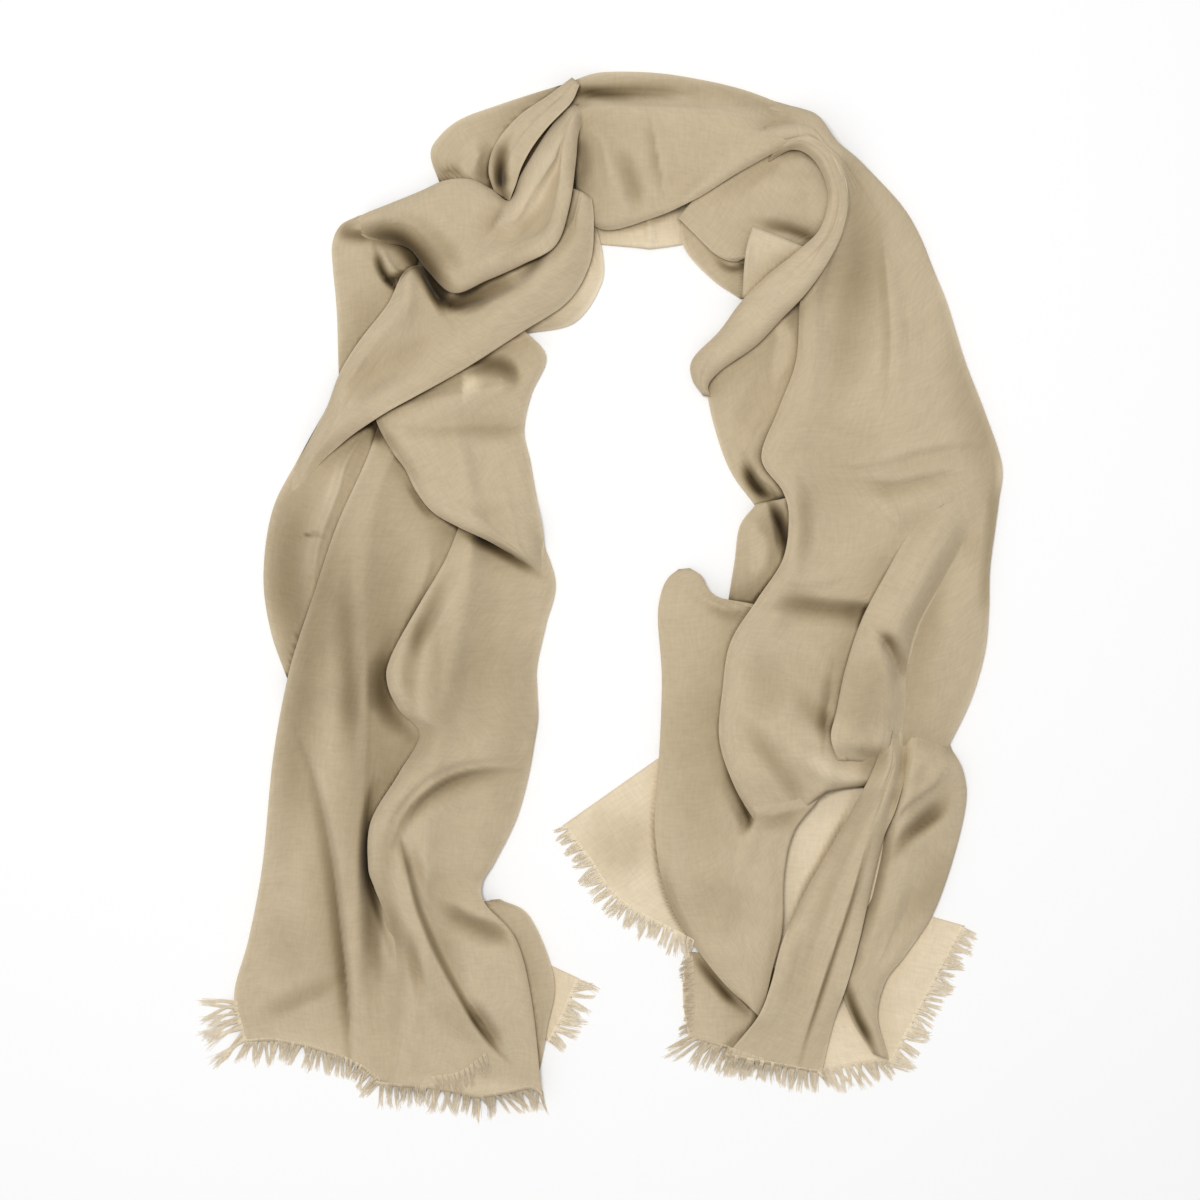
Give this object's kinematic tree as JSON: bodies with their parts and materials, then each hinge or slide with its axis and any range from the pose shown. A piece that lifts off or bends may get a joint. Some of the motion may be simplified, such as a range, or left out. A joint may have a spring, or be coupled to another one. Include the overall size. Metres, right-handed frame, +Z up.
{
  "type": "pashmina shawl",
  "caption": "Fine woven wool shawl with fringed ends, gathered lengthwise and laid flat in an arch with two hanging legs.",
  "frame": {"origin": "centre of the bounding box's bottom face, on the surface that the shawl lies on", "axes": "+X to the right leg's side seen from above, +Y from the hems towards the top of the arch, +Z up"},
  "size_m": [0.7058, 0.9238, 0.0388],
  "materials": {
    "wool_cloth": "fine plain-woven wool, matt with a soft nap, light khaki tan",
    "fringe_yarn": "loose wool yarn ends, paler than the doubled cloth"
  },
  "bodies": {
    "root": {"arch": "wool_cloth", "arch_back": "wool_cloth", "fringe_left_back": "fringe_yarn", "fringe_left_hem": "fringe_yarn", "fringe_left_side": "fringe_yarn", "fringe_right_front": "fringe_yarn", "fringe_right_hem": "fringe_yarn", "fringe_right_outer": "fringe_yarn", "fringe_right_turn": "fringe_yarn", "inner_back": "wool_cloth", "inner_flap": "wool_cloth", "inner_turn": "wool_cloth", "knot": "wool_cloth", "layers_arch": "wool_cloth", "layers_left_leg": "wool_cloth", "layers_left_top": "wool_cloth", "layers_right_leg": "wool_cloth", "left_back_corner": "wool_cloth", "left_leg_front": "wool_cloth", "left_leg_lower_roll": "wool_cloth", "left_leg_side": "wool_cloth", "left_leg_upper": "wool_cloth", "left_loop": "wool_cloth", "left_shoulder": "wool_cloth", "long_fold": "wool_cloth", "right_front_corner": "wool_cloth", "right_hem_turn": "wool_cloth", "right_inner": "wool_cloth", "right_inner_gather": "wool_cloth", "right_leg_inner": "wool_cloth", "right_leg_outer": "wool_cloth", "right_main": "wool_cloth", "right_outer_corner": "wool_cloth", "right_pleat": "wool_cloth", "right_roll": "wool_cloth", "right_strap": "wool_cloth", "right_under": "wool_cloth", "square_flap": "wool_cloth", "upper_left_loop": "wool_cloth", "upper_left_roll": "wool_cloth"}
  },
  "joints": []
}
